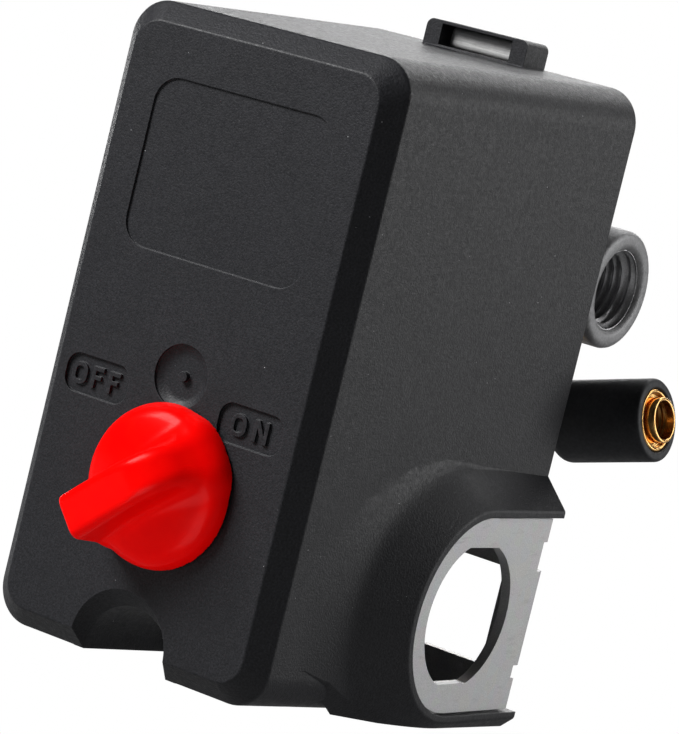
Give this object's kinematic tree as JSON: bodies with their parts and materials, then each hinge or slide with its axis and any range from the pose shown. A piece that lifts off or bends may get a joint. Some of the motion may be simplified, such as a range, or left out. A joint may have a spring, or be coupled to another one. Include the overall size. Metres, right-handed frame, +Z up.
{
  "type": "pressure switch",
  "caption": "Air-compressor pressure switch: tapered plastic cover with a rotary on-off knob, cable-hole ears, threaded port manifold and unloader valve.",
  "frame": {"origin": "centre of the inlet port's mouth, on the back of the manifold", "axes": "+Z up along the cover's long side, -Y out of the knob's face, +Y out of the inlet port, +X out of the right-hand port"},
  "size_m": [0.0695, 0.1035, 0.1015],
  "materials": {
    "cover_plastic": "fine-grained matt moulding",
    "knob_plastic": "glossy moulding",
    "inner_plastic": "natural nylon",
    "phenolic": "pressed phenolic",
    "galvanised": "galvanised sheet",
    "spring_steel": "bright spring steel",
    "zinc_steel": "zinc-plated",
    "die_cast": "die-cast, as cast",
    "diaphragm_rubber": "moulded rubber",
    "sleeve_rubber": "soft matt rubber",
    "brass": "turned brass",
    "copper": "copper with silver points",
    "green_paint": "green ground screw"
  },
  "bodies": {
    "housing": {"cover": "cover_plastic", "bracket": "galvanised", "cover_latch": "spring_steel", "latch_rivets": "zinc_steel", "ground_screw": "green_paint", "ground_washer": "zinc_steel", "manifold": "die_cast", "manifold_screws": "zinc_steel", "diaphragm": "diaphragm_rubber", "spring_frame": "galvanised", "frame_rivets": "zinc_steel", "lever_pin": "spring_steel", "pin_clips": "spring_steel", "range_spring": "spring_steel", "differential_spring": "spring_steel", "contact_block": "phenolic", "block_screws": "zinc_steel", "fixed_contacts": "brass", "terminal_clamps": "zinc_steel", "terminal_screws": "zinc_steel", "rocker_pin": "spring_steel", "snap_spring": "spring_steel", "unloader_body": "brass", "unloader_nut": "brass", "unloader_spring": "spring_steel", "unloader_cap": "brass", "unloader_sleeve": "sleeve_rubber", "unloader_ferrule": "brass", "unloader_tube": "brass"},
    "knob": {"knob": "knob_plastic", "knob_shaft": "inner_plastic", "knob_clip": "spring_steel"},
    "off_slide": {"off_slider": "inner_plastic"},
    "plunger": {"plunger": "brass"},
    "lever": {"main_lever": "zinc_steel", "spring_seat": "zinc_steel"},
    "rocker": {"contact_rocker": "inner_plastic", "contact_bridges": "copper"},
    "stem": {"unloader_stem": "brass", "unloader_seal": "diaphragm_rubber"},
    "range_screw": {"range_screw": "zinc_steel"},
    "range_nut": {"range_nut": "zinc_steel"},
    "differential_screw": {"differential_screw": "zinc_steel"},
    "differential_nut": {"differential_nut": "zinc_steel"}
  },
  "joints": [
    {"name": "knob_turn", "type": "hinge", "parent": "housing", "child": "knob", "pos_m": [0.0012, -0.09, -0.0386], "axis": [0, -1, 0], "range_deg": [0, 90]},
    {"name": "off_slide_lift", "type": "slide", "parent": "housing", "child": "off_slide", "axis": [0, 0, 1], "range_m": [0, 0.00221]},
    {"name": "plunger_stroke", "type": "slide", "parent": "housing", "child": "plunger", "axis": [0, -1, 0], "range_m": [0, 0.0011], "stiffness_N_per_m": 400, "springref_m": -0.001},
    {"name": "lever_swing", "type": "hinge", "parent": "housing", "child": "lever", "pos_m": [0, -0.041, 0.0228], "axis": [-1, 0, 0], "range_deg": [0, 3], "deforming": ["range_spring", "differential_spring"]},
    {"name": "rocker_swing", "type": "hinge", "parent": "housing", "child": "rocker", "pos_m": [0, -0.0475, -0.0172], "axis": [1, 0, 0], "range_deg": [0, 8.01], "deforming": ["snap_spring"]},
    {"name": "stem_push", "type": "slide", "parent": "housing", "child": "stem", "axis": [0, 1, 0], "range_m": [0, 0.0019], "deforming": ["unloader_spring"]},
    {"name": "range_screw_turn", "type": "hinge", "parent": "housing", "child": "range_screw", "pos_m": [0, -0.077, 0.0134], "axis": [0, 1, 0], "range_deg": [-720, 720]},
    {"name": "range_nut_travel", "type": "slide", "parent": "housing", "child": "range_nut", "axis": [0, 1, 0], "range_m": [-0.00201, 0.00201], "deforming": ["range_spring"]},
    {"name": "differential_screw_turn", "type": "hinge", "parent": "housing", "child": "differential_screw", "pos_m": [0, -0.077, 0.0026], "axis": [0, 1, 0], "range_deg": [-720, 720]},
    {"name": "differential_nut_travel", "type": "slide", "parent": "housing", "child": "differential_nut", "axis": [0, 1, 0], "range_m": [-0.00201, 0.00201], "deforming": ["differential_spring"]}
  ],
  "couplings": [
    {"joint": "off_slide_lift", "follows": "knob_turn", "m_per_rad": 0.0014006},
    {"joint": "lever_swing", "follows": "plunger_stroke", "rad_per_m": 43.86},
    {"joint": "rocker_swing", "follows": "plunger_stroke", "rad_per_m": 126.93},
    {"joint": "stem_push", "follows": "plunger_stroke", "ratio": 1.7273},
    {"joint": "range_nut_travel", "follows": "range_screw_turn", "m_per_rad": 0.00015915},
    {"joint": "differential_nut_travel", "follows": "differential_screw_turn", "m_per_rad": 0.00015915}
  ]
}
